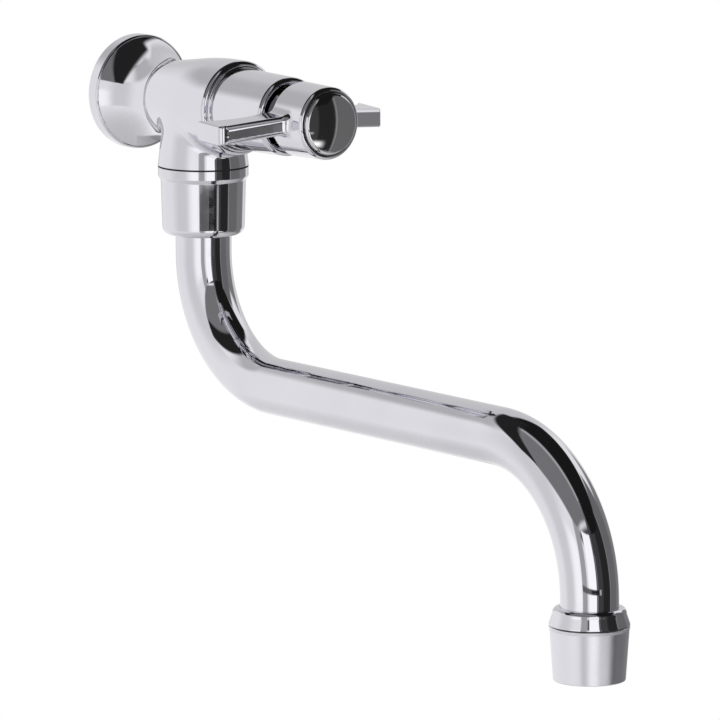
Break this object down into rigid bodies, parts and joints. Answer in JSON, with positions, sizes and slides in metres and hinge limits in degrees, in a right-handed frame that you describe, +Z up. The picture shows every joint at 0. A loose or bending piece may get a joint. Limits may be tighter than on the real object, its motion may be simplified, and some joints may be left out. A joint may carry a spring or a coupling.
{
  "type": "wall-mounted tap with swivel spout",
  "caption": "Wall-mounted bib tap in polished chrome with a bell rosette, a two-winged front handle and an S-shaped swivel tube spout ending in an aerator.",
  "frame": {"origin": "on the inlet axis, in the plane of the wall face", "axes": "+Y along the inlet thread into the wall, -Y out towards the user along the barrel, +Z up, +X to the tap's left as the user faces the wall from the far side of the spout (right-handed frame)"},
  "size_m": [0.0779, 0.3158, 0.2136],
  "materials": {
    "chrome": "polished",
    "cap_chrome": "polished",
    "satin_chrome": "satin",
    "rubber": "matte",
    "ceramic": "lapped",
    "white_plastic": "matte",
    "brass": "machined",
    "steel": "machined"
  },
  "bodies": {
    "body": {"wall_gasket": "rubber", "rosette": "chrome", "valve_body": "chrome", "seat_seal": "rubber", "ceramic_disc_fixed": "ceramic", "headwork_housing": "brass", "headwork_o_ring": "rubber", "thrust_washer": "white_plastic", "bead_ring": "chrome", "bonnet_sleeve": "chrome", "union_nut": "chrome", "spigot_washer": "white_plastic", "swivel_bush": "white_plastic", "spout_o_ring_upper": "rubber", "spout_o_ring_lower": "rubber"},
    "handle": {"ceramic_disc_moving": "ceramic", "spindle": "brass", "spindle_o_ring_rear": "rubber", "spindle_o_ring_front": "rubber", "spindle_circlip": "steel", "handle": "chrome", "handle_screw": "steel", "handle_cap": "cap_chrome"},
    "spout": {"spout_tube": "chrome", "spout_collar": "brass", "aerator_ring": "chrome", "aerator_gasket": "rubber", "aerator_screen": "steel", "aerator_insert": "white_plastic", "flow_straightener": "white_plastic", "aerator_shell": "satin_chrome"}
  },
  "joints": [
    {"name": "handle_turn", "type": "hinge", "parent": "body", "child": "handle", "pos_m": [0, -0.11, 0], "axis": [0, -1, 0], "range_deg": [0, 90]},
    {"name": "spout_swivel", "type": "hinge", "parent": "body", "child": "spout", "pos_m": [0, -0.0456, -0.05], "axis": [0, 0, 1], "range_deg": [-90, 90]}
  ]
}
